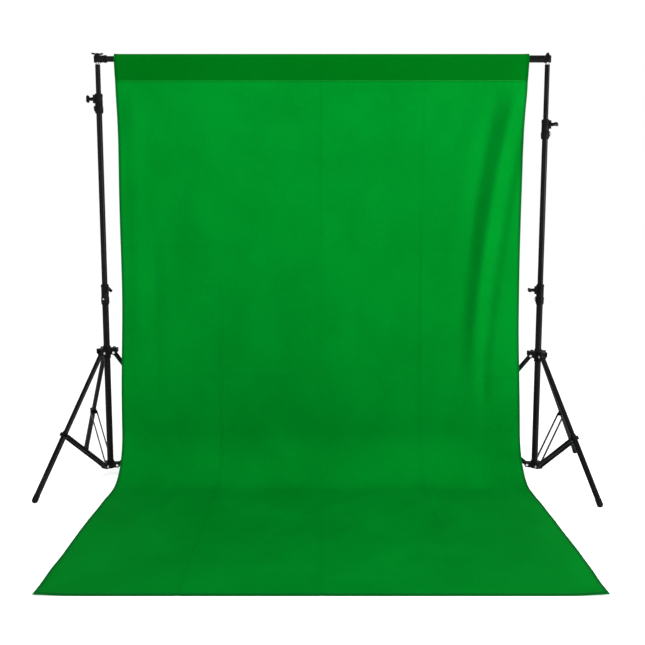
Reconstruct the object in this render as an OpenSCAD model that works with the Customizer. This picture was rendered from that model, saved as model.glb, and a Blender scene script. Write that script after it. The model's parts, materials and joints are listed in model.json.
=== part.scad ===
// Studio background support: two telescopic tripod stands, a telescopic crossbar and a
// fabric background that hangs from a sewn rod pocket and sweeps forward over the floor.
// The origin is on the floor, in the middle of the footprint. +X runs along the crossbar
// from the left stand to the right one, -Y is the front and +Z is up. Millimetres.

/* [Overall] */
// Distance between the axes of the two columns
column_spacing = 1991; // [1980:1:2060]
// Height of the crossbar axis above the floor
crossbar_z = 1895; // [1880:1:1960]
// Distance of the columns behind the origin
column_y = 438; // [380:1:470]
// Place of the middle between the columns along X
middle_x = -27; // [-40:1:0]

/* [Tripods] */
// Radius of the circle on which the three feet of the left stand rest
left_foot_circle_r = 449; // [440:1:460]
// Radius of the circle on which the three feet of the right stand rest, opened wider
right_foot_circle_r = 471; // [460:1:475]
// Length of every leg, from its pivot to the middle of its foot
leg_line = 706; // [702:1:710]
// Turn of the left tripod about its column, degrees
left_turn = 0.5; // [0:0.5:5]
// Turn of the right tripod about its column, degrees
right_turn = 10; // [0:0.5:15]
// Distance of the leg pivots from the column axis
hub_r = 34; // [33:1:36]
// Height of the strut pivots
base_z = 49; // [46:1:52]
// Distance of the strut pivots from the column axis
base_r = 35; // [34:1:37]
// Distance along a leg from its pivot to its strut bracket
bracket_at = 408; // [390:1:410]
// Radius of the upper part of a leg
leg_upper_r = 10.5; // [10:0.1:10.6]
// Radius of the lower part of a leg
leg_lower_r = 12; // [11.5:0.1:12.2]
// Radius of the rubber feet
foot_r = 13; // [13:0.5:14]

/* [Columns] */
// Outer radius of the lower tube
lower_tube_r = 14.5; // [14.4:0.1:14.6]
// Outer radius of the middle tube
middle_tube_r = 12.7; // [12.6:0.1:12.8]
// Outer radius of the top tube
top_tube_r = 11; // [10.9:0.1:11]
// Wall of every tube
tube_wall = 1.2; // [1:0.1:1.2]
// Length of the middle tubes
middle_tube_len = 930; // [900:1:940]
// Length of the top tubes
top_tube_len = 920; // [900:1:940]
// Height of the middle of the lower collars
lower_collar_z = 850; // [846:1:860]
// Height of the middle of the left upper collar
left_upper_collar_z = 1702; // [1500:1:1712]
// Height of the middle of the right upper collar
right_upper_collar_z = 1590; // [1500:1:1712]
// Height of the lower collars
lower_collar_h = 94; // [90:1:97]
// Height of the upper collars
upper_collar_h = 86; // [84:1:95]

/* [Crossbar] */
// Outer radius of the outer section, on the right
bar_outer_r = 15.5; // [15.5:0.1:15.7]
// Outer radius of the middle section
bar_middle_r = 14; // [13.9:0.1:14]
// Outer radius of the inner section, on the left
bar_inner_r = 12.5; // [12.4:0.1:12.5]
// Length of each section
bar_len = 1000; // [950:10:1050]
// Place of the open end of the outer section, from the middle of the crossbar
outer_end_x = -21; // [-40:1:0]
// Place of the open end of the middle section, from the middle of the crossbar
middle_end_x = -503; // [-520:1:-480]

/* [Background] */
// Width of the background
sheet_w = 1830; // [1700:10:1840]
// Sideways place of the background's middle on the crossbar
sheet_shift = -4; // [-15:1:0]
// Thickness of the sheet
sheet_t = 1.2; // [1:0.1:3]
// Depth of the rod pocket below the crossbar axis
pocket_drop = 95; // [85:1:105]
// Height at which the hanging panel meets the sweep
panel_bottom_z = 745; // [740:1:760]
// Radius of the sweep where the sheet turns onto the floor
sweep_r = 210; // [180:10:350]
// Distance from the columns to the front edge on the floor
front_edge = 1265; // [1000:1:1300]

/* [Hidden] */
$fn = 48;
LEFT = -1;
RIGHT = 1;
INNER = 0;
BACK = 1;
FRONT = 2;

// Clearances: between sliding tubes, and around a turning pin
slide_gap = 0.3;
pin_gap = 0.05;
face_gap = 0.3;
eps = 0.01;

// Legs. The foot is a ball that is cut flat where it meets the floor.
pin_r = 3;
foot_centre_z = 11;
foot_len = 22;
leg_step = 0.8 * (leg_lower_r - leg_upper_r);
leg_len = sqrt(leg_line * leg_line - leg_step * leg_step);
eye_r = 11;
eye_half = 11;
bracket_half = 13.5;
bracket_half_h = 16;
bracket_in = 10;

// Struts: two flat bars on either side of the leg
bar_w = 15;
bar_t = 2;
bar_gap = bracket_half + face_gap;

// Hubs
ear_t = 4.5;
ear_in = eye_half + face_gap;
ear_out = ear_in + ear_t;
hub_arm_r = hub_r + 16;
hub_top = 22;
hub_skirt = 26;
hub_cone_top = 32;
sleeve_r = 18;
base_bottom = 34;
base_top = 68;
base_floor = 4;
base_arm_half = bar_gap - face_gap;
base_arm_r = 12;

// Columns
tube_in_collar = 10;
lower_tube_top = lower_collar_z + tube_in_collar;
top_tube_top = crossbar_z - 25;
head_half = 16;
head_r = 16;
stud_shoulder_r = 9.5;
stud_thread_r = 4.75;
stud_top = crossbar_z + 24;
stud_in_tube = 30;

// Collars and knobs
collar_foot_r = 16;
collar_top_r = 15.5;
collar_r = 17;
collar_base_r = 18.5;
lug_r = 25;
lug_w = 18;
knob_z = 20;
bolt_z = -20;
screw_r = 3;
knob_reach = 30;
bar_half = 16;
grip_w = 13;
knob_thick = 10;
hub_knob_z = 6;

// Crossbar
left_x = middle_x - column_spacing / 2;
right_x = middle_x + column_spacing / 2;
socket_r = 16.5;
socket_out = 41.5;
socket_neck = 24;
tube_start = 20;
bar_collar_half = 20;
big_collar_r = 19;
small_collar_r = 17.5;
thumb_r = 6;
thumb_len = 12;

// Background: the pocket's loop, the hanging panel, and the sweep onto the floor
sheet_x = middle_x + sheet_shift - sheet_w / 2;
pocket_r = 20.5;
pocket_tip_y = -12;
panel_top_z = crossbar_z - pocket_drop;
panel_low_z = 730;
panel_low_y = -31;
sweep_y = -37;

function upper_collar_z(side) = side == LEFT ? left_upper_collar_z : right_upper_collar_z;

// How far a stand is open: its foot circle, the height of its leg pivots, the angle of its legs
function foot_circle_r(side) = side == LEFT ? left_foot_circle_r : right_foot_circle_r;
function leg_run(side) = foot_circle_r(side) - hub_r;
function hub_z(side) = foot_centre_z + sqrt(leg_line * leg_line - leg_run(side) * leg_run(side));
function leg_angle(side) = asin(leg_run(side) / leg_line) - asin(leg_step / leg_line);

// A strut's run and rise from its base pivot to its bracket, and its length and angle
function strut_run(side) =
    hub_r + bracket_at * sin(leg_angle(side)) - bracket_in * cos(leg_angle(side)) - base_r;
function strut_rise(side) =
    hub_z(side) - bracket_at * cos(leg_angle(side)) - bracket_in * sin(leg_angle(side)) - base_z;
function strut_len(side) = norm([strut_run(side), strut_rise(side)]);
function strut_angle(side) = atan2(strut_run(side), strut_rise(side));

// Direction of a leg seen from above, and of the knobs on a stand
function leg_azimuth(side, leg) =
    side == LEFT ? left_turn + 120 * leg : 180 - right_turn - 120 * leg;
function lower_knob_azimuth(side) = side == LEFT ? 80 : 180;
function upper_knob_azimuth(side) = side == LEFT ? 180 : -30;
function hub_knob_azimuth(side) = leg_azimuth(side, BACK) + (side == LEFT ? -60 : 60);

module at_stand(side) {
    translate([side == LEFT ? left_x : right_x, column_y, 0]) children();
}

module at_azimuth(azimuth, z = 0) {
    translate([0, 0, z]) rotate([0, 0, azimuth]) children();
}

// A cylinder along X from x0 to x1
module rod_x(r, x0, x1) {
    translate([x0, 0, 0]) rotate([0, 90, 0]) cylinder(r = r, h = x1 - x0);
}

// A cylinder along Y, from -half to +half
module rod_y(r, half) {
    rotate([90, 0, 0]) cylinder(r = r, h = 2 * half, center = true);
}

module tube(r, z0, z1) {
    difference() {
        translate([0, 0, z0]) cylinder(r = r, h = z1 - z0);
        translate([0, 0, z0 - 1]) cylinder(r = r - tube_wall, h = z1 - z0 + 2);
    }
}

module bar_tube(r, x0) {
    translate([x0, column_y, crossbar_z]) difference() {
        rod_x(r, 0, bar_len);
        rod_x(r - tube_wall, -1, bar_len + 1);
    }
}

// ---- Columns ----

module lower_tube(side) {
    color("black") at_stand(side) tube(lower_tube_r, base_bottom + base_floor, lower_tube_top);
}

module middle_tube(side) {
    top = upper_collar_z(side) + tube_in_collar;
    color("black") at_stand(side) tube(middle_tube_r, top - middle_tube_len, top);
}

module top_tube(side) {
    color("black") at_stand(side) tube(top_tube_r, top_tube_top - top_tube_len, top_tube_top);
}

// The stud plugs into the top tube and carries the crossbar's head
module top_stud(side) {
    shoulder_top = crossbar_z - head_half;
    color("silver") at_stand(side) {
        translate([0, 0, top_tube_top - stud_in_tube])
            cylinder(r = top_tube_r - tube_wall, h = stud_in_tube);
        translate([0, 0, top_tube_top])
            cylinder(r = stud_shoulder_r, h = shoulder_top - top_tube_top);
        translate([0, 0, shoulder_top - eps])
            cylinder(r = stud_thread_r, h = stud_top - shoulder_top - 1);
        translate([0, 0, stud_top - 1 - eps])
            cylinder(r1 = stud_thread_r, r2 = stud_thread_r - 1, h = 1);
    }
}

// Outline of a collar, from its tapered foot to its chamfered top
module collar_outline(height) {
    half = height / 2;
    polygon([
        [0, -half], [collar_foot_r, -half], [collar_base_r, -half + 8], [collar_base_r, -15],
        [collar_r, -10], [collar_r, half - 14], [collar_r + 1, half - 12],
        [collar_r + 1, half - 5], [collar_top_r, half], [0, half]
    ]);
}

module lug(z0, z1, reach) {
    translate([0, 0, z0]) linear_extrude(z1 - z0) {
        translate([8, -lug_w / 2]) square([reach - 8 - 3, lug_w]);
        translate([8, -lug_w / 2 + 3]) square([reach - 8, lug_w - 6]);
        for (s = [-1, 1]) translate([reach - 3, s * (lug_w / 2 - 3)]) circle(r = 3);
    }
}

// A clamping collar: it is fixed on the tube below it, and its knob holds the tube above
module collar(height, outer_r, inner_r, azimuth) {
    difference() {
        rotate([0, 0, azimuth]) {
            rotate_extrude($fn = 64) collar_outline(height);
            lug(2, 38, lug_r);
            lug(-32, -10, lug_r - 4);
        }
        translate([0, 0, -height]) cylinder(r = outer_r, h = height + tube_in_collar);
        cylinder(r = inner_r + slide_gap, h = height);
        rotate([0, 0, azimuth]) {
            translate([0, 0, knob_z]) rod_x(screw_r + pin_gap, 5, lug_r + 5);
            translate([-30, -0.8, 14]) cube([20, 1.6, height]);
        }
    }
}

module lower_collar(side) {
    color("black") at_stand(side) translate([0, 0, lower_collar_z])
        collar(lower_collar_h, lower_tube_r, middle_tube_r, lower_knob_azimuth(side));
}

module upper_collar(side) {
    color("black") at_stand(side) translate([0, 0, upper_collar_z(side)])
        collar(upper_collar_h, middle_tube_r, top_tube_r, upper_knob_azimuth(side));
}

// A tee knob on a screw along +X. start is the face it stands on, tip the screw's inner end.
module tee_knob(tip, start, turn) {
    grip_x = start + knob_reach - grip_w / 2;
    rotate([turn, 0, 0]) {
        rod_x(screw_r, tip, start + 2);
        translate([start + 0.5, 0, 0]) rotate([0, 90, 0]) cylinder(r1 = 8.5, r2 = 7, h = 17);
        translate([grip_x, 0, 0]) rotate([90, 0, 0])
            linear_extrude(knob_thick, center = true) {
                square([grip_w, 2 * bar_half - grip_w], center = true);
                for (s = [-1, 1]) translate([0, s * (bar_half - grip_w / 2)]) circle(r = grip_w / 2);
            }
    }
}

module lower_collar_knob(side) {
    color("black") at_stand(side) at_azimuth(lower_knob_azimuth(side), lower_collar_z + knob_z)
        tee_knob(middle_tube_r + 2 * slide_gap, lug_r, side == LEFT ? -45 : 75);
}

module upper_collar_knob(side) {
    color("black") at_stand(side) at_azimuth(upper_knob_azimuth(side), upper_collar_z(side) + knob_z)
        tee_knob(top_tube_r + 2 * slide_gap, lug_r, side == LEFT ? 8 : 80);
}

// The bolt on a collar's lower lug, and the rivet on the far side that keeps the tube in
module collar_bolts(azimuth) {
    rotate([0, 0, azimuth]) translate([0, 0, bolt_z]) {
        rod_x(5.5, lug_r - 4, lug_r - 1);
        rod_x(3, lug_r - 1 - eps, lug_r + 2);
        rod_x(3.5, -collar_base_r - 1.5, -collar_base_r);
    }
}

module base_pin() {
    head = bar_gap + bar_t + face_gap;
    rod_y(pin_r, head + 1);
    for (s = [-1, 1]) translate([0, s * (head + 0.9), 0]) rod_y(5.5, 0.9);
}

// The three strut pins of the base hub, and the bolt and rivet of the lower collar
module lower_fasteners(side) {
    color("silver") at_stand(side) {
        for (leg = [INNER, BACK, FRONT])
            at_azimuth(leg_azimuth(side, leg), base_z) translate([base_r, 0, 0]) base_pin();
        translate([0, 0, lower_collar_z])
            collar_bolts(lower_knob_azimuth(side));
    }
}

module upper_collar_bolts(side) {
    color("silver") at_stand(side) translate([0, 0, upper_collar_z(side)])
        collar_bolts(upper_knob_azimuth(side));
}

// ---- Tripods ----

// One arm of the sliding hub: two ears under a top web, with the pin's bores
module hub_arm() {
    difference() {
        union() {
            for (s = [-1, 1]) translate([0, s * (ear_in + ear_t / 2), 0]) rotate([90, 0, 0])
                linear_extrude(ear_t, center = true) {
                    polygon([
                        [12, -12], [hub_r, -6], [hub_arm_r, 2], [hub_arm_r, hub_top], [12, hub_top]
                    ]);
                    translate([hub_r, 0]) circle(r = eye_r);
                }
            translate([12, -ear_out, hub_top - 8]) cube([hub_arm_r - 12, 2 * ear_out, 8]);
        }
        translate([hub_r, 0, 0]) rod_y(pin_r, 2 * ear_out);
    }
}

module leg_hub(side) {
    color("black") at_stand(side) difference() {
        union() {
            translate([0, 0, hub_z(side)]) {
                translate([0, 0, -hub_skirt]) cylinder(r = sleeve_r, h = hub_skirt + hub_top + 2);
                translate([0, 0, hub_top + 2])
                    cylinder(r1 = sleeve_r, r2 = 16.5, h = hub_cone_top - hub_top - 2);
            }
            for (leg = [INNER, BACK, FRONT]) at_azimuth(leg_azimuth(side, leg), hub_z(side)) hub_arm();
            at_azimuth(hub_knob_azimuth(side), hub_z(side)) lug(-8, hub_top - 2, lug_r);
        }
        cylinder(r = lower_tube_r + slide_gap, h = 2 * hub_z(side));
        at_azimuth(hub_knob_azimuth(side), hub_z(side) + hub_knob_z)
            rod_x(screw_r + pin_gap, 5, lug_r + 5);
    }
}

module leg_hub_knob(side) {
    color("black") at_stand(side) at_azimuth(hub_knob_azimuth(side), hub_z(side) + hub_knob_z)
        tee_knob(lower_tube_r + 2 * slide_gap, lug_r, 0);
}

module leg_hub_pins(side) {
    color("silver") at_stand(side)
        for (leg = [INNER, BACK, FRONT]) at_azimuth(leg_azimuth(side, leg), hub_z(side))
            translate([hub_r, 0, 0]) {
                rod_y(pin_r, ear_out + 1);
                for (s = [-1, 1]) translate([0, s * (ear_out + 0.9), 0]) rod_y(5.5, 0.9);
            }
}

module base_arm() {
    translate([10, -base_arm_half, base_bottom - base_z + 3])
        cube([base_r - 10, 2 * base_arm_half, 24]);
    translate([base_r, 0, 0]) rod_y(base_arm_r, base_arm_half);
}

module base_hub(side) {
    color("black") at_stand(side) difference() {
        union() {
            translate([0, 0, base_bottom]) cylinder(r = sleeve_r, h = base_top - base_bottom);
            for (leg = [INNER, BACK, FRONT]) at_azimuth(leg_azimuth(side, leg), base_z) base_arm();
        }
        translate([0, 0, base_bottom + base_floor]) cylinder(r = lower_tube_r, h = base_top);
        for (leg = [INNER, BACK, FRONT]) at_azimuth(leg_azimuth(side, leg), base_z)
            translate([base_r, 0, 0]) rod_y(pin_r, 2 * base_arm_half);
    }
}

// Places a leg's own frame: its pivot at the origin, the leg along -Z, +X on its outer side
module at_leg(side, leg) {
    at_stand(side) at_azimuth(leg_azimuth(side, leg), hub_z(side)) translate([hub_r, 0, 0])
        rotate([0, -leg_angle(side), 0]) children();
}

module leg(side, leg) {
    step_z = bracket_at + bracket_half_h;
    lower_end = leg_len - foot_len / 2;
    color("black") at_leg(side, leg) difference() {
        union() {
            rod_y(eye_r, eye_half);
            translate([0, 0, -step_z]) cylinder(r = leg_upper_r, h = step_z);
            translate([leg_step, 0, -lower_end])
                cylinder(r = leg_lower_r, h = lower_end - bracket_at + bracket_half_h);
            translate([0, 0, -bracket_at]) rotate([90, 0, 0])
                linear_extrude(2 * bracket_half, center = true) {
                    translate([-bracket_in, 0]) circle(r = 8);
                    translate([-bracket_in, -8]) square([bracket_in + leg_lower_r + 3, 16]);
                }
            translate([0, 0, -bracket_at])
                rod_x(5, 0, leg_step + leg_lower_r + 3.5);
        }
        rod_y(pin_r + pin_gap, 2 * eye_half);
        translate([0, 0, -bracket_at + bracket_half_h + 5])
            cylinder(r = leg_upper_r - tube_wall, h = bracket_at - bracket_half_h - 25);
        translate([leg_step, 0, -lower_end - 1])
            cylinder(r = leg_lower_r - tube_wall, h = lower_end - bracket_at - bracket_half_h);
        translate([-bracket_in, 0, -bracket_at]) rod_y(pin_r + pin_gap, 2 * bracket_half);
    }
}

module foot(side, leg) {
    color("dimgray") difference() {
        at_leg(side, leg) translate([leg_step, 0, -leg_len]) {
            cylinder(r = foot_r, h = foot_len);
            sphere(r = foot_r);
        }
        at_leg(side, leg) translate([leg_step, 0, -leg_len + foot_len / 2])
            cylinder(r = leg_lower_r, h = foot_len);
        translate([-2 * column_spacing, -2 * column_spacing, -50])
            cube([4 * column_spacing, 4 * column_spacing, 50]);
    }
}

module strut_bar(length) {
    rotate([90, 0, 0]) linear_extrude(bar_t, center = true) difference() {
        union() {
            translate([-bar_w / 2, 0]) square([bar_w, length]);
            circle(r = bar_w / 2);
            translate([0, length]) circle(r = bar_w / 2);
        }
        circle(r = pin_r + pin_gap);
    }
}

// A strut: two flat bars, each with the head of its bracket rivet at the upper end
module strut(side, leg) {
    color("black") at_stand(side) at_azimuth(leg_azimuth(side, leg), base_z)
        translate([base_r, 0, 0]) rotate([0, strut_angle(side), 0])
            for (s = [-1, 1]) {
                translate([0, s * (bar_gap + bar_t / 2), 0]) strut_bar(strut_len(side));
                translate([0, s * (bar_gap + bar_t + 0.9 - eps), strut_len(side)]) rod_y(5, 0.9);
            }
}

// ---- Crossbar ----

module crossbar_inner_tube() {
    color("black") bar_tube(bar_inner_r, left_x + tube_start);
}

module crossbar_middle_tube() {
    color("black") bar_tube(bar_middle_r, middle_x + middle_end_x);
}

module crossbar_outer_tube() {
    color("black") bar_tube(bar_outer_r, middle_x + outer_end_x);
}

// A plastic collar on the open end of a section, with the bore of its thumb screw below
module bar_collar(x, r, outer_r, inner_r) {
    color("black") translate([x, column_y, crossbar_z]) difference() {
        union() {
            rod_x(r, -bar_collar_half + 2, bar_collar_half);
            rod_x(r - 1.5, -bar_collar_half, bar_collar_half - 1);
        }
        rod_x(outer_r, 0, bar_collar_half + 1);
        rod_x(inner_r + slide_gap, -bar_collar_half - 1, 1);
        translate([-bar_collar_half / 2, 0, -2 * r]) cylinder(r = 2.5 + pin_gap, h = 2 * r);
    }
}

module crossbar_middle_collar() {
    bar_collar(middle_x + middle_end_x, small_collar_r, bar_middle_r, bar_inner_r);
}

module crossbar_outer_collar() {
    bar_collar(middle_x + outer_end_x, big_collar_r, bar_outer_r, bar_middle_r);
}

module thumb_screw(x, inner_r, collar_r) {
    tip = inner_r + 2 * slide_gap;
    grip = collar_r + 0.8;
    color("black") translate([x - bar_collar_half / 2, column_y, crossbar_z]) rotate([180, 0, 0]) {
        translate([0, 0, tip]) cylinder(r = 2.5, h = grip - tip + 2);
        difference() {
            translate([0, 0, grip]) cylinder(r = thumb_r, h = thumb_len);
            for (a = [0:30:330]) rotate([0, 0, a])
                translate([thumb_r + 0.5, 0, grip - 1]) cylinder(r = 1, h = thumb_len + 2, $fn = 16);
        }
    }
}

module crossbar_middle_screw() {
    thumb_screw(middle_x + middle_end_x, bar_inner_r, small_collar_r);
}

module crossbar_outer_screw() {
    thumb_screw(middle_x + outer_end_x, bar_middle_r, big_collar_r);
}

// Outline of an end fitting's upright barrel
module head_outline() {
    polygon([
        [0, -head_half], [head_r - 2, -head_half], [head_r, -head_half + 2],
        [head_r, head_half - 5], [head_r - 1.5, head_half - 2], [head_r - 5, head_half],
        [0, head_half]
    ]);
}

// The left fitting holds the inner section in a socket
module crossbar_left_head() {
    color("black") translate([left_x, column_y, crossbar_z]) difference() {
        union() {
            rotate_extrude() head_outline();
            rod_x(socket_r - 2.2, 0, socket_out);
            rod_x(socket_r - 1, head_r - 4, socket_neck);
            rod_x(socket_r, socket_neck + 5, socket_out - 1.5);
        }
        rod_x(bar_inner_r, tube_start, socket_out + 1);
        cylinder(r = stud_thread_r + 2 * pin_gap, h = 3 * head_half, center = true);
    }
}

// The right fitting plugs into the end of the outer section
module crossbar_right_head() {
    end = right_x - (middle_x + outer_end_x + bar_len);
    color("black") translate([right_x, column_y, crossbar_z]) difference() {
        union() {
            rotate_extrude() head_outline();
            rod_x(bar_outer_r, -end, -2);
            rod_x(bar_outer_r - tube_wall, -end - 26, -end + 1);
        }
        cylinder(r = stud_thread_r + 2 * pin_gap, h = 3 * head_half, center = true);
    }
}

module wing_nut(azimuth) {
    seat = crossbar_z + head_half + face_gap;
    difference() {
        translate([0, 0, seat]) union() {
            cylinder(r1 = 8.5, r2 = 7, h = 8);
            rotate([90, 0, azimuth]) for (s = [0, 1]) mirror([s, 0, 0])
                linear_extrude(3, center = true) {
                    polygon([[5, 1], [12, 1], [24, 4], [21, 10], [5, 7]]);
                    translate([22, 6.7]) circle(r = 3.5);
                }
        }
        cylinder(r = stud_thread_r + pin_gap, h = 2 * crossbar_z);
    }
}

module left_wing_nut() {
    color("black") at_stand(LEFT) wing_nut(10);
}

module right_wing_nut() {
    color("black") at_stand(RIGHT) wing_nut(80);
}

// ---- Background ----

// Places an outline drawn in (Y, Z), measured from the columns, across the sheet's width
module across_sheet() {
    translate([sheet_x, column_y, 0]) rotate([90, 0, 90]) linear_extrude(sheet_w) children();
}

// A loop around the crossbar that narrows to the stitched line below it
module pocket_outline(grow) {
    drop = pocket_drop - sheet_t + grow;
    half = grow > 0 ? sheet_t / 2 : 0.1;
    r = pocket_r + grow;
    circle(r = r);
    polygon([[-r, 0], [pocket_tip_y - half, -drop], [pocket_tip_y + half, -drop], [r, 0]]);
}

module background_rod_pocket() {
    color("green") across_sheet() translate([0, crossbar_z]) difference() {
        pocket_outline(sheet_t);
        pocket_outline(0);
    }
}

module background_hanging_panel() {
    half = sheet_t / 2;
    color("green") across_sheet() polygon([
        [pocket_tip_y - half, panel_top_z], [pocket_tip_y + half, panel_top_z],
        [panel_low_y + half, panel_low_z], [panel_low_y - half, panel_low_z]
    ]);
}

module background_floor_sweep() {
    outer_r = sweep_r + sheet_t / 2;
    centre_z = outer_r;
    color("green") across_sheet() {
        translate([sweep_y - sheet_t / 2, centre_z]) square([sheet_t, panel_bottom_z - centre_z]);
        translate([sweep_y - sweep_r, centre_z]) intersection() {
            difference() {
                circle(r = outer_r, $fn = 96);
                circle(r = outer_r - sheet_t, $fn = 96);
            }
            translate([0, -outer_r]) square([outer_r, outer_r + eps]);
        }
        translate([-front_edge, 0]) square([front_edge + sweep_y - sweep_r + eps, sheet_t]);
    }
}

lower_tube(LEFT);  // left_lower_tube
middle_tube(LEFT);  // left_middle_tube
top_tube(LEFT);  // left_top_tube
top_stud(LEFT);  // left_top_stud
lower_collar(LEFT);  // left_lower_collar
lower_collar_knob(LEFT);  // left_lower_collar_knob
lower_fasteners(LEFT);  // left_lower_fasteners
upper_collar(LEFT);  // left_upper_collar
upper_collar_knob(LEFT);  // left_upper_collar_knob
upper_collar_bolts(LEFT);  // left_upper_collar_bolts
leg_hub(LEFT);  // left_leg_hub
leg_hub_knob(LEFT);  // left_leg_hub_knob
leg_hub_pins(LEFT);  // left_leg_hub_pins
base_hub(LEFT);  // left_base_hub
leg(LEFT, INNER);  // left_inner_leg
leg(LEFT, BACK);  // left_back_leg
leg(LEFT, FRONT);  // left_front_leg
strut(LEFT, INNER);  // left_inner_strut
strut(LEFT, BACK);  // left_back_strut
strut(LEFT, FRONT);  // left_front_strut
foot(LEFT, INNER);  // left_inner_foot
foot(LEFT, BACK);  // left_back_foot
foot(LEFT, FRONT);  // left_front_foot
lower_tube(RIGHT);  // right_lower_tube
middle_tube(RIGHT);  // right_middle_tube
top_tube(RIGHT);  // right_top_tube
top_stud(RIGHT);  // right_top_stud
lower_collar(RIGHT);  // right_lower_collar
lower_collar_knob(RIGHT);  // right_lower_collar_knob
lower_fasteners(RIGHT);  // right_lower_fasteners
upper_collar(RIGHT);  // right_upper_collar
upper_collar_knob(RIGHT);  // right_upper_collar_knob
upper_collar_bolts(RIGHT);  // right_upper_collar_bolts
leg_hub(RIGHT);  // right_leg_hub
leg_hub_knob(RIGHT);  // right_leg_hub_knob
leg_hub_pins(RIGHT);  // right_leg_hub_pins
base_hub(RIGHT);  // right_base_hub
leg(RIGHT, INNER);  // right_inner_leg
leg(RIGHT, BACK);  // right_back_leg
leg(RIGHT, FRONT);  // right_front_leg
strut(RIGHT, INNER);  // right_inner_strut
strut(RIGHT, BACK);  // right_back_strut
strut(RIGHT, FRONT);  // right_front_strut
foot(RIGHT, INNER);  // right_inner_foot
foot(RIGHT, BACK);  // right_back_foot
foot(RIGHT, FRONT);  // right_front_foot
crossbar_inner_tube();
crossbar_middle_tube();
crossbar_outer_tube();
crossbar_middle_collar();
crossbar_outer_collar();
crossbar_middle_screw();
crossbar_outer_screw();
crossbar_left_head();
crossbar_right_head();
left_wing_nut();
right_wing_nut();
background_rod_pocket();
background_hanging_panel();
background_floor_sweep();
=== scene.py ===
"""Looks of the studio background support: materials for the stands and the crossbar, and
the fabric background as two pieces of one cloth.

The cloth is a grid. Its rows follow a profile in (Y, Z): along the floor, round the sweep,
up to the stitched line, and round the crossbar as a rod pocket. Its columns run along X.
"""
import json
import math

import bpy
import numpy as np
from mathutils import Euler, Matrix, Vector


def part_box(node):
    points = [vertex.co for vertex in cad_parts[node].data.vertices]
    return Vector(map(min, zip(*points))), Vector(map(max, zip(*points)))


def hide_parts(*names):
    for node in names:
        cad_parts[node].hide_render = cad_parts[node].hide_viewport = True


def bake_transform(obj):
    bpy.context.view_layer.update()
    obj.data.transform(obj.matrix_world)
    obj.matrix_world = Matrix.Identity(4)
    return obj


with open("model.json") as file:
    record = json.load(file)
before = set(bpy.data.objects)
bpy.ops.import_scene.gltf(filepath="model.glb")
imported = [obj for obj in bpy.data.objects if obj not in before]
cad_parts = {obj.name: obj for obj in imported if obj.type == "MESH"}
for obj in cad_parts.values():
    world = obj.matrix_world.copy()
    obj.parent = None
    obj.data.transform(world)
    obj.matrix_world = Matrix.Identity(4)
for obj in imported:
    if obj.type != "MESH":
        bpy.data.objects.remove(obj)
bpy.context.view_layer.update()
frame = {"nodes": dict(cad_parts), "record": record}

SLOTS = {p["node"]: p["material_slot"] for p in frame["record"]["subparts"]}


# ---- Places taken from the frame ----

def middle(node):
    low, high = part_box(node)
    return (low + high) / 2


left_column = middle("left_lower_tube")
right_column = middle("right_lower_tube")
column_y = left_column.y
bar_z = middle("crossbar_inner_tube").z
pocket_low, pocket_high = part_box("background_rod_pocket")
panel_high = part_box("background_hanging_panel")[1]
sweep_low, sweep_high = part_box("background_floor_sweep")
sheet_left, sheet_right = pocket_low.x, pocket_high.x
sheet_w = sheet_right - sheet_left
stitch_z = panel_high.z


# ---- Node helpers ----

class Nodes:
    """A material's node tree, with short ways to add and join nodes."""

    def __init__(self, name):
        self.material = bpy.data.materials.new(name)
        self.material.use_nodes = True
        self.tree = self.material.node_tree
        self.shader = self.tree.nodes["Principled BSDF"]

    def add(self, kind, inputs=None, **settings):
        node = self.tree.nodes.new(kind)
        for key, value in settings.items():
            setattr(node, key, value)
        for key, value in (inputs or {}).items():
            self.put(value, node.inputs[key])
        return node

    def put(self, value, socket):
        if isinstance(value, bpy.types.NodeSocket):
            self.tree.links.new(value, socket)
        else:
            socket.default_value = value

    def math(self, operation, a, b=0.0):
        node = self.add("ShaderNodeMath", {0: a, 1: b}, operation=operation)
        return node.outputs[0]

    def noise(self, vector, scale, detail=3.0, rough=0.5):
        node = self.add("ShaderNodeTexNoise", {
            "Vector": vector, "Scale": scale, "Detail": detail, "Roughness": rough})
        return node.outputs["Fac"]

    def ramp(self, value, low, high, to_low=0.0, to_high=1.0):
        node = self.add("ShaderNodeMapRange", {
            "Value": value, "From Min": low, "From Max": high, "To Min": to_low, "To Max": to_high},
            interpolation_type="SMOOTHSTEP")
        return node.outputs["Result"]

    def mix(self, factor, a, b):
        node = self.add("ShaderNodeMix", data_type="RGBA")
        self.put(factor, node.inputs[0])
        self.put(a, node.inputs[6])
        self.put(b, node.inputs[7])
        return node.outputs[2]

    def bump(self, height, strength, distance, normal=None):
        node = self.add("ShaderNodeBump", {
            "Height": height, "Strength": strength, "Distance": distance})
        if normal is not None:
            self.put(normal, node.inputs["Normal"])
        return node.outputs["Normal"]

    def place(self):
        return self.add("ShaderNodeTexCoord").outputs["Object"]

    def finish(self, **sockets):
        for key, value in sockets.items():
            self.put(value, self.shader.inputs[key.replace("_", " ")])
        return self.material


def edge_wear_and_highlight(m, place, width):
    """1 on convex edges, 0 elsewhere, broken up by noise; the lighter colour mixed in there is partly
    wear and partly a painted edge highlight.
    """
    rounded = m.add("ShaderNodeBevel", {"Radius": width}, samples=4).outputs["Normal"]
    flat = m.add("ShaderNodeNewGeometry").outputs["Normal"]
    turned = m.add("ShaderNodeVectorMath", {0: rounded, 1: flat}, operation="DOT_PRODUCT")
    edge = m.ramp(turned.outputs["Value"], 0.985, 0.90)
    return m.math("MULTIPLY", edge, m.ramp(m.noise(place, 260.0, 4.0), 0.48, 0.62))


# ---- Materials of the stands ----

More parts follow.
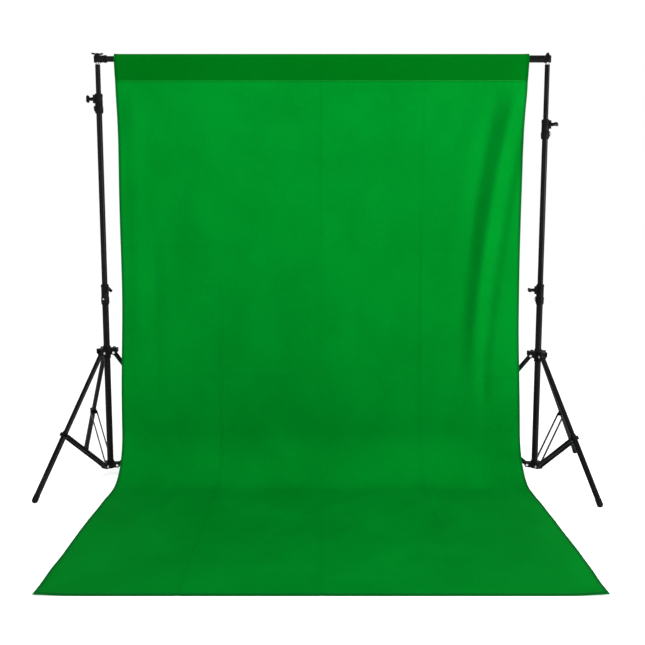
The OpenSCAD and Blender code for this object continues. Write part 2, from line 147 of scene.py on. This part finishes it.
def coated_tube():
    """Black anodised tube: a satin sheen with faint drawing lines and a little dust."""
    m = Nodes("black_tube")
    place = m.place()
    stretched = m.add("ShaderNodeMapping", {"Vector": place, "Scale": (1.0, 1.0, 0.02)}).outputs[0]
    lines = m.noise(stretched, 900.0, 2.0)
    cloud = m.noise(place, 9.0, 4.0)
    base = m.mix(m.ramp(cloud, 0.35, 0.7), (0.0015, 0.0015, 0.0016, 1), (0.004, 0.004, 0.0042, 1))
    # Lighter grey on the edges: partly worn coating, partly a painted edge highlight.
    color = m.mix(m.math("MULTIPLY", edge_wear_and_highlight(m, place, 0.0012), 0.5), base, (0.16, 0.16, 0.165, 1))
    rough = m.math("ADD", m.ramp(cloud, 0.3, 0.75, 0.27, 0.36), m.math("MULTIPLY", lines, 0.06))
    return m.finish(Base_Color=color, Roughness=rough, Specular_IOR_Level=0.08,
                    Normal=m.bump(lines, 0.12, 0.0002))


def painted_steel():
    """Black powder coat on the strut bars, with orange peel, and lighter edges that are partly worn
    coating and partly a painted edge highlight.
    """
    m = Nodes("black_steel")
    place = m.place()
    peel = m.noise(place, 700.0, 3.0)
    cloud = m.noise(place, 14.0, 3.0)
    base = m.mix(m.ramp(cloud, 0.3, 0.7), (0.002, 0.002, 0.0022, 1), (0.005, 0.005, 0.0053, 1))
    # Lighter grey on the edges: partly worn coating, partly a painted edge highlight.
    color = m.mix(m.math("MULTIPLY", edge_wear_and_highlight(m, place, 0.0008), 0.8), base, (0.34, 0.34, 0.35, 1))
    return m.finish(Base_Color=color, Roughness=m.ramp(peel, 0.3, 0.7, 0.33, 0.46),
                    Specular_IOR_Level=0.05, Normal=m.bump(peel, 0.25, 0.0003))


def moulded_plastic(name, dark, light, rough, grain):
    """Moulded black plastic with a fine spark-eroded grain, and lighter edges that are partly rubbed and
    partly a painted edge highlight.
    """
    m = Nodes(name)
    place = m.place()
    fine = m.noise(place, grain, 2.0, 0.6)
    cloud = m.noise(place, 30.0, 3.0)
    base = m.mix(m.ramp(cloud, 0.3, 0.7), (dark, dark, dark * 1.05, 1), (light, light, light * 1.05, 1))
    # Lighter grey on the edges: partly rubbed plastic, partly a painted edge highlight.
    color = m.mix(m.math("MULTIPLY", edge_wear_and_highlight(m, place, 0.001), 0.6), base, (0.10, 0.10, 0.105, 1))
    return m.finish(Base_Color=color, Roughness=m.ramp(fine, 0.3, 0.7, rough - 0.05, rough + 0.07),
                    Specular_IOR_Level=0.05, Normal=m.bump(fine, 0.35, 0.0003))


THREAD_PITCH = 0.0015


def bright_steel(name, tint, rough, threads):
    """Zinc-plated steel with fine turning marks, and with a screw thread if asked."""
    m = Nodes(name)
    place = m.place()
    flat = m.add("ShaderNodeMapping", {"Vector": place, "Scale": (0.3, 0.3, 1.0)}).outputs[0]
    marks = m.noise(flat, 1800.0, 2.0)
    stain = m.noise(place, 120.0, 4.0)
    color = m.mix(m.ramp(stain, 0.35, 0.75), (tint, tint, tint * 1.02, 1),
                  (tint * 0.72, tint * 0.72, tint * 0.72, 1))
    normal = m.bump(marks, 0.2, 0.0002)
    if threads:
        height = m.add("ShaderNodeSeparateXYZ", {0: place}).outputs["Z"]
        turn = m.math("SINE", m.math("MULTIPLY", height, 2 * math.pi / THREAD_PITCH))
        normal = m.bump(turn, 0.6, 0.0004, normal)
    return m.finish(Base_Color=color, Metallic=1.0,
                    Roughness=m.ramp(stain, 0.3, 0.7, rough, rough + 0.12), Normal=normal)


def soft_rubber():
    """Black rubber feet: matt, with a dusty bloom and scuffs."""
    m = Nodes("black_rubber")
    place = m.place()
    fine = m.noise(place, 500.0, 4.0)
    dust = m.noise(place, 45.0, 5.0, 0.65)
    color = m.mix(m.ramp(dust, 0.5, 0.72), (0.003, 0.003, 0.003, 1), (0.010, 0.010, 0.0095, 1))
    return m.finish(Base_Color=color, Roughness=m.ramp(dust, 0.3, 0.7, 0.62, 0.8),
                    Specular_IOR_Level=0.06, Normal=m.bump(fine, 0.4, 0.0004))


# ---- The cloth's material ----

WEAVE = 0.0011          # one wave of the woven threads
HEM = 0.014             # width of the side hems


def green_cloth():
    """Plain-woven green cotton.

    The attribute "cut" holds the place in the flat cut, in metres: X across from the left
    edge, Y along from the front edge, Z inwards from the nearest edge,
    counted so that every hem ends at HEM."""
    m = Nodes("green_cloth")
    cut = m.add("ShaderNodeAttribute", attribute_name="cut").outputs["Vector"]
    split = m.add("ShaderNodeSeparateXYZ", {0: cut})
    across, along, inside = split.outputs["X"], split.outputs["Y"], split.outputs["Z"]
    pocket = m.add("ShaderNodeAttribute", attribute_name="pocket").outputs["Fac"]
    crease_shade = m.add("ShaderNodeAttribute", attribute_name="crease_shade").outputs["Fac"]
    waves = []
    for value in (across, along):
        waves.append(m.math("SINE", m.math("MULTIPLY", value, 2 * math.pi / WEAVE)))
    over = m.math("MULTIPLY", waves[0], waves[1])
    drawn_out = m.add("ShaderNodeMapping", {"Vector": cut, "Scale": (1.0, 0.05, 1.0)}).outputs[0]
    slub = m.noise(drawn_out, 700.0, 2.0)
    cloud = m.noise(cut, 3.0, 4.0, 0.55)
    mottle = m.noise(cut, 60.0, 3.0)
    base = m.mix(m.ramp(cloud, 0.3, 0.72), (0.0, 0.146, 0.0100, 1), (0.0, 0.170, 0.0125, 1))
    base = m.mix(m.math("MULTIPLY", m.ramp(mottle, 0.35, 0.7), 0.22), base, (0.0, 0.190, 0.016, 1))
    base = m.mix(m.math("MULTIPLY", m.ramp(over, -1.0, 1.0), 0.10), base, (0.0, 0.21, 0.017, 1))
    # Painted shade: darker green along the packing creases.
    base = m.mix(m.math("MULTIPLY", crease_shade, 0.28), base, (0.0, 0.10, 0.009, 1))
    # Painted shade: darker green along the hems at the cloth's edges.
    hem = m.ramp(inside, HEM, HEM * 0.8)
    base = m.mix(m.math("MULTIPLY", hem, 0.8), base, (0.0, 0.085, 0.010, 1))
    # Painted shade: the rod pocket round the bar is much darker.
    base = m.mix(m.math("MULTIPLY", pocket, 0.62), base, (0.0, 0.062, 0.0005, 1))
    weave = m.math("ADD", m.math("MULTIPLY", over, 0.5), m.math("MULTIPLY", slub, 0.6))
    return m.finish(Base_Color=base, Roughness=m.ramp(mottle, 0.3, 0.7, 0.78, 0.9),
                    Specular_IOR_Level=0.03, Specular_Tint=(0.0, 0.5, 0.1, 1),
                    Sheen_Weight=0.03, Sheen_Roughness=0.5, Sheen_Tint=(0.0, 0.5, 0.1, 1),
                    Normal=m.bump(weave, 0.35, 0.0003))


def sewing_thread():
    """Green polyester thread, a little glossier than the cloth."""
    m = Nodes("sewing_thread")
    twist = m.add("ShaderNodeTexWave", {"Vector": m.place(), "Scale": 600.0}, bands_direction="DIAGONAL")
    color = m.mix(twist.outputs["Fac"], (0.0, 0.11, 0.012, 1), (0.0, 0.19, 0.02, 1))
    return m.finish(Base_Color=color, Roughness=m.ramp(twist.outputs["Fac"], 0.0, 1.0, 0.45, 0.6),
                    Normal=m.bump(twist.outputs["Fac"], 0.4, 0.0002))


# ---- The cloth's shape ----

GRID = 0.012            # between the cloth's columns, and between its rows
LOOP_GRID = 0.004       # between the rows round the bar
THICK = 0.0009
HEM_THICK = 0.0022
FRONT_HEM = 0.02        # width of the hem at the front edge
FLOOR_GAP = 0.0003      # under the hems, above the floor
INSET = 0.0006          # from the back of the CAD cloth to this cloth's middle
SWEEP_R = 0.21          # radius of the bend above the floor
SEAM_Z = 0.95           # where the two pieces of cloth meet
LOOP_R = (pocket_high.y - pocket_low.y) / 2 - THICK

# How closely the plain profile is followed, in points for each stretch.
FLOOR_STEPS = 260
ARC_STEPS = 160
HANG_STEPS = 300
LOOP_STEPS = 120
WALL_STEPS = 40


def profile():
    """Closely spaced points (y, z) from the front edge along the floor, up and round the bar
    to the end of the pocket's back, the distance to each, and that to the stitched line."""
    rise_y = sweep_high.y - INSET
    arc_y = rise_y - SWEEP_R
    stitch_y = panel_high.y - INSET
    lift = HEM_THICK / 2 + FLOOR_GAP
    floor = [(y, lift) for y in np.linspace(sweep_low.y, arc_y, FLOOR_STEPS, endpoint=False)]
    arc = []
    for a in np.linspace(0, math.pi / 2, ARC_STEPS, endpoint=False):
        arc.append((arc_y + SWEEP_R * math.sin(a), lift + SWEEP_R * (1 - math.cos(a))))
    hang = []
    for z in np.linspace(lift + SWEEP_R, stitch_z, HANG_STEPS, endpoint=False):
        share = (z - lift - SWEEP_R) / (stitch_z - lift - SWEEP_R)
        hang.append((rise_y + (stitch_y - rise_y) * share * share * (3 - 2 * share), z))
    # The pocket's two walls leave the stitched line and touch the loop round the bar.
    drop = bar_z - stitch_z
    away = math.hypot(drop, stitch_y - column_y)
    lean = math.atan2(column_y - stitch_y, drop)
    spread = math.acos(LOOP_R / away)
    start = -math.pi / 2 - lean - spread
    end = -math.pi / 2 - lean + spread - 2 * math.pi
    loop = []
    for a in np.linspace(start, end, LOOP_STEPS):
        loop.append((column_y + LOOP_R * math.cos(a), bar_z + LOOP_R * math.sin(a)))
    front = [(stitch_y + (loop[0][0] - stitch_y) * t, stitch_z + (loop[0][1] - stitch_z) * t)
             for t in np.linspace(0, 1, WALL_STEPS, endpoint=False)]
    behind = stitch_y + HEM_THICK
    back = [(loop[-1][0] + (behind - loop[-1][0]) * t, loop[-1][1] + (stitch_z - loop[-1][1]) * t)
            for t in np.linspace(0, 1, WALL_STEPS)[1:]]
    points = np.array(floor + arc + hang + front + loop + back)
    steps = np.linalg.norm(np.diff(points, axis=0), axis=1)
    length = np.concatenate([[0], np.cumsum(steps)])
    stitch = length[len(floor) + len(arc) + len(hang)]
    return points, length, stitch


def rows(points, length, start, end, grid=GRID):
    """Evenly spaced places along the profile, and the points there."""
    n = max(2, round((end - start) / grid) + 1)
    at = np.linspace(start, end, n)
    return at, np.stack([np.interp(at, length, points[:, k]) for k in (0, 1)], axis=1)


def bell(value, width):
    """1 at zero, and fading to nothing about two widths away."""
    return np.exp(-(value / width) ** 2)


def smooth(value, low, high):
    """0 up to low, 1 from high on, with a soft step between."""
    t = np.clip((value - low) / (high - low), 0, 1)
    return t * t * (3 - 2 * t)


WAVES = np.random.default_rng(7).uniform(-1, 1, (24, 4))


def ripple(x, s, size, first):
    """Smooth, repeatable unevenness of about -1 to 1, at a given size in metres."""
    total = np.zeros_like(x)
    for k, (a, b, c, d) in enumerate(WAVES[first:first + 6]):
        f = 2 * math.pi / (size * (1 + 0.35 * k))
        turn = math.pi * a
        total += (0.6 + 0.4 * b) * np.sin(f * (x * math.cos(turn) + s * math.sin(turn)) + 9 * c + 5 * d)
    return total / 2.6


CREASES_ALONG = (0.25, 0.5, 0.75)               # shares of the width
CREASES_ACROSS = (0.14, 0.33, 0.52, 0.71)       # shares of the length when packed
CREASE_W = 0.006
FOLDED_LENGTH = 3.1


def packing_creases(x, s):
    """Sharp folds from packing, 0 to 1: some along the cloth, and fainter ones across it.
    Each wanders a little and comes and goes on its way."""
    total = np.zeros_like(x)
    for k, share in enumerate(CREASES_ALONG):
        line = sheet_left + share * sheet_w + 0.004 * np.sin(2.1 * s + k)
        depth = 0.55 + 0.45 * np.sin(1.7 * s + 2.3 * k)
        total = np.maximum(total, bell(x - line, CREASE_W) * depth)
    for k, share in enumerate(CREASES_ACROSS):
        line = share * FOLDED_LENGTH + 0.003 * np.sin(3.3 * x + k)
        depth = 0.25 + 0.25 * np.sin(4.1 * x + 1.9 * k)
        total = np.maximum(total, bell(s - line, CREASE_W) * depth)
    return total


FOLD_FOOT_Z = 0.5
FOLD_RISE = 1.22


def folds(x, s, z):
    """How far the cloth stands out of its plain profile, towards the front, in metres.

    A ridge with a hollow on each side hangs from the pocket's right end and leans inwards on
    its way down, with a lower ridge to its left. Near the left edge the folds are shallow.
    Each line below is a fold's height, its place, its width and the heights it fades over."""
    hung = smooth(z, 0.12, 0.5) * (1 - smooth(z, 1.62, stitch_z))
    up = np.clip((z - FOLD_FOOT_Z) / FOLD_RISE, 0, 1.2)
    ridge = sheet_right - 0.214 + 0.157 * up ** 1.6
    left_hollow = sheet_right - 0.272 + 0.128 * up ** 1.3
    right_hollow = sheet_right - 0.165 + 0.17 * up ** 1.2
    out = 0.034 * bell(x - ridge, 0.038) * smooth(z, 0.25, 1.0)
    out -= 0.016 * bell(x - left_hollow, 0.020) * smooth(z, 0.9, 1.5)
    out -= 0.014 * bell(x - right_hollow, 0.020) * smooth(z, 0.2, 0.6)
    out += 0.008 * bell(x - ridge + 0.14, 0.05) * smooth(z, 0.7, 1.5)
    out += 0.007 * bell(x - sheet_left - 0.075, 0.035) * smooth(z, 0.1, 0.8)
    low_only = 1 - smooth(z, 0.9, 1.3)
    out -= 0.006 * bell(x - sheet_left - 0.16 + 0.02 * up, 0.03) * smooth(z, 0.2, 0.5) * low_only
    out += 0.005 * bell(x - sheet_left - 0.30 - 0.1 * up, 0.07) * smooth(z, 0.5, 1.4)
    out += 0.004 * ripple(x, 0.45 * s, 0.5, 0) + 0.0018 * ripple(x, 0.5 * s, 0.19, 6)
    return out * hung


PANEL_DEPTH = 0.0035
DEEPEST = -0.004


def panels(x):
    """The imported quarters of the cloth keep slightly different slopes."""
    quarter = (x - sheet_left) / sheet_w * 4
    return PANEL_DEPTH * np.abs((quarter % 2) - 1)


def pulled_in(x, s, z):
    """How far the cloth moves to the right, where its sides are pulled in or flare out."""
    reach = sheet_w * 0.32
    left_pull = 0.009 - 0.019 * (1 - smooth(z, 0.05, 0.9)) + 0.002 * np.sin(7 * s)
    right_pull = 0.018 - 0.027 * (1 - smooth(z, 0.0, 0.75)) + 0.002 * np.sin(6 * s + 1)
    left_in = left_pull * np.exp(-(x - sheet_left) / reach)
    right_in = right_pull * np.exp(-(sheet_right - x) / reach)
    below_pocket = 1 - smooth(z, 1.45, 1.90)
    keep = below_pocket * (0.3 + 0.7 * smooth(s, 0.0, 0.2))
    return (left_in - right_in) * keep


def standing_out(x, s, z):
    """How far the cloth stands off its plain profile: folds, panels, creases, and the low
    swells of the part on the floor."""
    sag = folds(x, s, z) + panels(x) * smooth(z, 0.1, 0.5) * (1 - smooth(z, 1.72, 1.80))
    sag += 0.0016 * packing_creases(x, s) * (1 - smooth(z, 1.78, 1.80))
    sag = np.maximum(sag, DEEPEST)
    on_floor = 1 - smooth(z, 0.03, 0.25)
    swell = 0.0018 * (1 + ripple(x, s, 0.33, 12)) + 0.0012 * (1 + ripple(x, s, 0.12, 18))
    return sag + swell * on_floor * smooth(s, 0.0, 0.25)


CURL_REACH = 0.07


def corner_curl(x, s):
    """The two front corners lift a little."""
    lift = np.zeros_like(x)
    for edge, height in ((sheet_left, 0.005), (sheet_right, 0.006)):
        lift += height * bell(np.abs(x - edge), CURL_REACH) * bell(s, CURL_REACH)
    return lift


def surface(at, base):
    """The place of each grid point in the flat cut, and the cloth's middle surface there."""
    columns = round(sheet_w / GRID) + 1
    flat_x = np.linspace(sheet_left, sheet_right, columns)
    x, s = np.meshgrid(flat_x, at)
    plain_y = np.repeat(base[:, None, 0], columns, axis=1)
    plain_z = np.repeat(base[:, None, 1], columns, axis=1)
    slope = np.gradient(base, at, axis=0)
    slope /= np.linalg.norm(slope, axis=1, keepdims=True)
    out_y = -slope[:, 1][:, None]
    out_z = slope[:, 0][:, None]
    sag = standing_out(x, s, plain_z)
    moved_x = x + pulled_in(x, s, plain_z)
    points = np.stack([moved_x, plain_y + out_y * sag, plain_z + out_z * sag], axis=-1)
    points[..., 2] += corner_curl(x, s)
    return x, s, points


def normals_of(points):
    """Unit normals of a grid, towards the front of the hung cloth."""
    d_row = np.gradient(points, axis=0)
    d_col = np.gradient(points, axis=1)
    n = np.cross(d_col, d_row)
    return n / np.linalg.norm(n, axis=-1, keepdims=True)


def thickness(x, s, stop):
    """The distance inwards from the nearest edge, counted so that every hem ends at HEM, and
    the thickness, which grows at the hems."""
    side = np.minimum(x - sheet_left, sheet_right - x)
    edge = np.minimum(side, np.minimum(s, np.abs(stop - s)) + HEM - FRONT_HEM)
    return edge, THICK + (HEM_THICK - THICK) * (1 - smooth(edge, HEM * 0.8, HEM))


def closed_faces(n_row, n_col):
    """Four-cornered faces of a closed sheet: the front, the back and the rim between them.
    The back's points come after the front's. Also returns how many faces aren't the rim."""
    count = n_row * n_col
    index = np.arange(count).reshape(n_row, n_col)
    corners = [index[:-1, :-1], index[:-1, 1:], index[1:, 1:], index[1:, :-1]]
    quads = np.stack(corners, axis=-1).reshape(-1, 4)
    border = np.concatenate([index[0, :], index[1:, -1], index[-1, -2::-1], index[-2:0:-1, 0]])
    ahead = np.roll(border, -1)
    rim = np.stack([ahead, border, border + count, ahead + count], axis=-1)
    return np.concatenate([quads, quads[:, ::-1] + count, rim]), len(quads) * 2


def set_normals(mesh, places, faces, rim, normals):
    """Smooth normals on the front and back, and each rim face's own normal on the rim."""
    both = np.concatenate([normals.reshape(-1, 3), -normals.reshape(-1, 3)])
    loops = both[faces.ravel()].reshape(-1, 4, 3)
    corners = places[faces[rim:]]
    across = np.cross(corners[:, 1] - corners[:, 0], corners[:, 3] - corners[:, 0])
    across /= np.maximum(np.linalg.norm(across, axis=1, keepdims=True), 1e-12)
    loops[rim:] = across[:, None, :]
    for polygon in mesh.polygons:
        polygon.use_smooth = True
    mesh.normals_split_custom_set(loops.reshape(-1, 3).tolist())


def set_attribute(mesh, name, kind, field, values):
    """Stores one value per grid point, the same for the front and the back."""
    layer = mesh.attributes.new(name, kind, "POINT")
    layer.data.foreach_set(field, np.concatenate([values, values]).astype(np.float32).ravel())


def new_object(name, mesh):
    thing = bpy.data.objects.new(name, mesh)
    bpy.context.scene.collection.objects.link(thing)
    return thing


def sheet_object(name, x, s, points, normals, stop, pocket_from):
    """A closed sheet with the cloth's thickness, from rows and columns of its middle surface."""
    edge, thick = thickness(x, s, stop)
    front = points + normals * thick[..., None] / 2
    behind = points - normals * thick[..., None] / 2
    places = np.concatenate([front.reshape(-1, 3), behind.reshape(-1, 3)])
    faces, rim = closed_faces(*x.shape)
    mesh = bpy.data.meshes.new(name)
    mesh.from_pydata(places.tolist(), [], faces.tolist())
    mesh.update()
    set_normals(mesh, places, faces, rim, normals)
    cut = np.stack([x - sheet_left, s, np.maximum(edge, 0)], axis=-1).reshape(-1, 3)
    set_attribute(mesh, "cut", "FLOAT_VECTOR", "vector", cut)
    # Mask of the rod pocket, for painted shade in the cloth's colour.
    pocket_shade = smooth(s, pocket_from - LOOP_GRID, pocket_from + LOOP_GRID).ravel()
    set_attribute(mesh, "pocket", "FLOAT", "value", pocket_shade)
    # Mask of the packing creases, used for painted shade in the cloth's colour.
    set_attribute(mesh, "crease_shade", "FLOAT", "value", packing_creases(x, s).ravel())
    return new_object(name, mesh)


# ---- The stitches ----

STITCH = 0.0032         # length of one
STITCH_PITCH = 0.0042   # from one to the next
STITCH_W = 0.0009
STITCH_SUNK = 0.0002    # its foot below the cloth's face
STITCH_RAISED = 0.0004  # its crown above the cloth's face
FROM_HEM_FOLD = 0.003   # from the hem's inner edge to its stitches


def stitch_line(grid, normals, at, ends, height):
    """Corners of short raised stitches between two places (x, s) of the cloth, at a height
    above its middle surface."""
    start, end = (np.array(p, float) for p in ends)
    span = np.linalg.norm(end - start)
    count = int(span / STITCH_PITCH)
    share = (np.arange(count) + 0.5) / count
    half = STITCH / 2 / span
    columns = grid.shape[1]

    def sample(values, t):
        """A grid of values, read between its points at a share t of the way."""
        x, s = (start[k] + (end[k] - start[k]) * t for k in (0, 1))
        col = np.clip((x - sheet_left) / sheet_w * (columns - 1), 0, columns - 1.001)
        row = np.clip(np.interp(s, at, np.arange(len(at))), 0, len(at) - 1.001)
        i = row.astype(int)
        j = col.astype(int)
        u = (row - i)[:, None]
        v = (col - j)[:, None]
        low = values[i, j] * (1 - v) + values[i, j + 1] * v
        high = values[i + 1, j] * (1 - v) + values[i + 1, j + 1] * v
        return low * (1 - u) + high * u

    first = sample(grid, share - half)
    last = sample(grid, share + half)
    up = sample(normals, share)
    side = np.cross(up, last - first)
    side *= STITCH_W / 2 / np.linalg.norm(side, axis=1, keepdims=True)
    base = up * (height - STITCH_SUNK)
    top = up * (height + STITCH_RAISED)
    foot = [first - side + base, first + side + base, last + side + base, last - side + base]
    mid = (first + last) / 2
    crown = [mid - side * 0.6 + top, mid + side * 0.6 + top]
    return np.stack(foot + crown, axis=1)


STITCH_FACES = [(0, 1, 2, 3), (4, 5, 1, 0), (5, 4, 3, 2), (3, 4, 0), (5, 2, 1)]


def stitching(name, lines, material):
    """All the stitches of some lines as one object."""
    corners = np.concatenate(lines)
    mesh = bpy.data.meshes.new(name)
    per_stitch = corners.shape[1]
    faces = [tuple(per_stitch * k + i for i in face)
             for k in range(len(corners)) for face in STITCH_FACES]
    mesh.from_pydata(corners.reshape(-1, 3).tolist(), [], faces)
    mesh.materials.append(material)
    return new_object(name, mesh)


# ---- The cloth's four pieces ----

def make_cloth(material):
    """The cloth and its stitches, each below and above the seam at SEAM_Z, and the seam's and
    the cloth's end's distance from the front edge."""
    points, length, stitch = profile()
    wall = (length < stitch) & (points[:, 1] > SWEEP_R)
    seam = float(np.interp(SEAM_Z, points[wall, 1], length[wall]))
    end = float(length[-1])
    low_at, low_base = rows(points, length, 0.0, seam)
    hung_at, hung_base = rows(points, length, seam, stitch)
    loop_at, loop_base = rows(points, length, stitch, end, LOOP_GRID)
    high_at = np.concatenate([hung_at, loop_at[1:]])
    high_base = np.concatenate([hung_base, loop_base[1:]])
    both_at = np.concatenate([low_at, high_at[1:]])
    both_base = np.concatenate([low_base, high_base[1:]])
    x, s, grid = surface(both_at, both_base)
    normals = normals_of(grid)
    made = {}
    below = slice(0, len(low_at))
    above = slice(len(low_at) - 1, None)
    for name, rows_of in (("background_lower_cloth", below), ("background_upper_cloth", above)):
        piece = sheet_object(name, x[rows_of], s[rows_of], grid[rows_of], normals[rows_of], end, stitch)
        piece.data.materials.append(material)
        made[name] = piece
    thread = sewing_thread()
    left = sheet_left + HEM - FROM_HEM_FOLD
    right = sheet_right - HEM + FROM_HEM_FOLD
    hem_at = FRONT_HEM - FROM_HEM_FOLD
    hem = HEM_THICK / 2
    single = THICK / 2
    low_lines = [((left, hem_at), (right, hem_at), hem)]
    low_lines += [((x_at, hem_at), (x_at, seam), hem) for x_at in (left, right)]
    high_lines = [((left + HEM, stitch), (right - HEM, stitch), single)]
    high_lines += [((x_at, seam), (x_at, stitch), hem) for x_at in (left, right)]
    for name, ends in (("background_lower_stitching", low_lines),
                       ("background_upper_stitching", high_lines)):
        lines = [stitch_line(grid, normals, both_at, (a, b), height) for a, b, height in ends]
        made[name] = stitching(name, lines, thread)
    return made, seam, end


cloth = green_cloth()
made, seam_at, cloth_end = make_cloth(cloth)
lower_cloth, upper_cloth = made["background_lower_cloth"], made["background_upper_cloth"]
for piece, nodes in ((lower_cloth, ["background_floor_sweep"]),
                     (upper_cloth, ["background_hanging_panel", "background_rod_pocket"])):
    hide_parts(*nodes)
for piece in (lower_cloth, made["background_lower_stitching"]):
    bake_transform(piece)
for piece in (upper_cloth, made["background_upper_stitching"]):
    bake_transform(piece)


# ---- Finishes of the CAD nodes ----

FINISHES = {
    "black_tube": coated_tube(),
    "black_steel": painted_steel(),
    "black_plastic": moulded_plastic("black_plastic", 0.002, 0.005, 0.44, 900.0),
    "black_knob": moulded_plastic("black_knob", 0.002, 0.004, 0.36, 1200.0),
    "bright_rivets": bright_steel("bright_rivets", 0.62, 0.28, False),
    "bright_stud": bright_steel("bright_stud", 0.70, 0.26, True),
    "black_rubber": soft_rubber(),
}

MOULDED = ("black_plastic", "black_knob")
MOULDED_EDGE = 0.0005


def round_edges(node):
    """Moulded parts have small round edges."""
    weld = node.modifiers.new("weld", "WELD")
    weld.merge_threshold = 0.00001
    bevel = node.modifiers.new("bevel", "BEVEL")
    bevel.width = MOULDED_EDGE
    bevel.segments = 2
    bevel.limit_method = "ANGLE"
    bevel.angle_limit = math.radians(40)


for name, node in frame["nodes"].items():
    finish = FINISHES.get(SLOTS[name])
    if finish:
        node.data.materials.clear()
        node.data.materials.append(finish)
    if SLOTS[name] in MOULDED:
        round_edges(node)


# ---- Camera, light and floor ----

CAMERA_X = round((left_column.x + right_column.x) / 2, 3)
CAMERA_AWAY = 3.745
CAMERA_Z = 1.181
CAMERA_DOWN = 7.01
LENS = 45.8
SENSOR_W = 36


def make_camera():
    """A camera in front of the middle of the two columns, looking slightly down."""
    data = bpy.data.cameras.new("camera")
    data.lens = LENS
    data.sensor_width = SENSOR_W
    camera = new_object("camera", data)
    camera.location = (CAMERA_X, column_y - CAMERA_AWAY, CAMERA_Z)
    camera.rotation_euler = Euler((math.radians(90 - CAMERA_DOWN), 0, 0))
    bpy.context.scene.camera = camera


def area_light(name, place, target, size, power):
    """A square soft light at a place, turned towards a target."""
    data = bpy.data.lights.new(name, "AREA")
    data.shape = "RECTANGLE"
    data.size = size
    data.size_y = size
    data.energy = power
    light = new_object(name, data)
    light.location = place
    light.rotation_euler = (Vector(target) - Vector(place)).to_track_quat("-Z", "Y").to_euler()


WORLD_LIGHT = 0.60
FLOOR_HALF = 40
FLOOR_GLOW = 0.5


def make_world():
    """Even white light all round, and pure white where the camera sees past the floor."""
    world = bpy.data.worlds.new("world")
    bpy.context.scene.world = world
    world.use_nodes = True
    tree = world.node_tree
    light = tree.nodes["Background"]
    light.inputs["Color"].default_value = (1, 1, 1, 1)
    light.inputs["Strength"].default_value = WORLD_LIGHT
    seen = tree.nodes.new("ShaderNodeBackground")
    seen.inputs["Color"].default_value = (1, 1, 1, 1)
    path = tree.nodes.new("ShaderNodeLightPath")
    mixed = tree.nodes.new("ShaderNodeMixShader")
    tree.links.new(path.outputs["Is Camera Ray"], mixed.inputs[0])
    tree.links.new(light.outputs[0], mixed.inputs[1])
    tree.links.new(seen.outputs[0], mixed.inputs[2])
    tree.links.new(mixed.outputs[0], tree.nodes["World Output"].inputs["Surface"])


def make_floor():
    """A plain pale floor."""
    mesh = bpy.data.meshes.new("studio_floor")
    half = FLOOR_HALF
    corners = [(-half, -half, 0), (half, -half, 0), (half, half, 0), (-half, half, 0)]
    mesh.from_pydata(corners, [], [(0, 1, 2, 3)])
    floor = new_object("studio_floor", mesh)
    m = Nodes("studio_floor")
    m.finish(Base_Color=(0.93, 0.93, 0.93, 1), Roughness=0.9,
             Emission_Color=(1, 1, 1, 1), Emission_Strength=FLOOR_GLOW)
    mesh.materials.append(m.material)


make_camera()
make_world()
make_floor()
bpy.context.scene.view_settings.view_transform = "Standard"
area_light("fill", (-2.6, -3.6, 2.0), (0, 0.4, 0.7), 1.6, 45)
area_light("key", (4.2, -2.1, 1.7), (0, 0.4, 0.5), 1.5, 200)
area_light("top", (0, -0.6, 3.6), (0, 0.3, 0), 2.0, 48)
